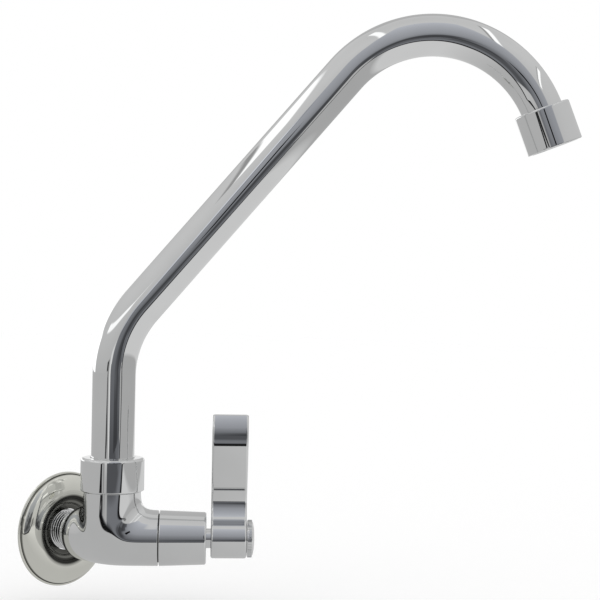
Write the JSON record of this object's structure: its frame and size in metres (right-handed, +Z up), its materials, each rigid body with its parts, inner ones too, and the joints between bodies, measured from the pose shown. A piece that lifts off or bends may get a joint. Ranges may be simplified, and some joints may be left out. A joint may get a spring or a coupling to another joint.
{
  "type": "wall tap",
  "caption": "Wall-mounted single-lever tap with a bent swivelling gooseneck spout, an aerator and a round wall flange.",
  "frame": {"origin": "centre of the wall flange's back face, in the plane of the wall, on the inlet's axis", "axes": "+Z up along the swivel axis, +Y into the wall along the inlet, so the room lies towards -Y; the valve branch, the lever and the spout at rest point halfway between +X and -Y"},
  "size_m": [0.2042, 0.2274, 0.3027],
  "materials": {
    "chrome_plate": "polished",
    "nickel_plate": "polished, warm nickel",
    "brass": "machined",
    "rubber": "matte",
    "acetal": "satin",
    "ceramic_disc": "lapped",
    "stainless": "satin"
  },
  "bodies": {
    "root": {"body_casting": "chrome_plate", "wall_flange": "nickel_plate", "collar_nut": "chrome_plate", "thrust_washer_lower": "acetal", "thrust_washer_upper": "acetal", "valve_sleeve": "chrome_plate", "headwork_body": "brass", "headwork_gasket": "rubber", "seat_seal": "rubber", "fixed_disc": "ceramic_disc"},
    "spout": {"spout_tube": "chrome_plate", "spout_ferrule": "brass", "spout_o_rings": "rubber", "outlet_housing": "chrome_plate", "aerator_washer": "rubber", "aerator_shell": "chrome_plate", "aerator_insert": "acetal", "aerator_screen": "stainless", "stream_straightener": "acetal"},
    "lever": {"lever_handle": "chrome_plate", "spindle": "brass", "moving_disc": "ceramic_disc", "spindle_o_rings": "rubber", "spindle_clip": "stainless", "handle_screw": "stainless", "index_cap": "chrome_plate"}
  },
  "joints": [
    {"name": "spout_swivel", "type": "hinge", "parent": "root", "child": "spout", "pos_m": [0, -0.0382, 0.03], "axis": [0, 0, 1], "range_deg": [-135, 45]},
    {"name": "lever_turn", "type": "hinge", "parent": "root", "child": "lever", "pos_m": [0, -0.0382, 0], "axis": [0.7071, -0.7071, 0], "range_deg": [0, 90]}
  ]
}
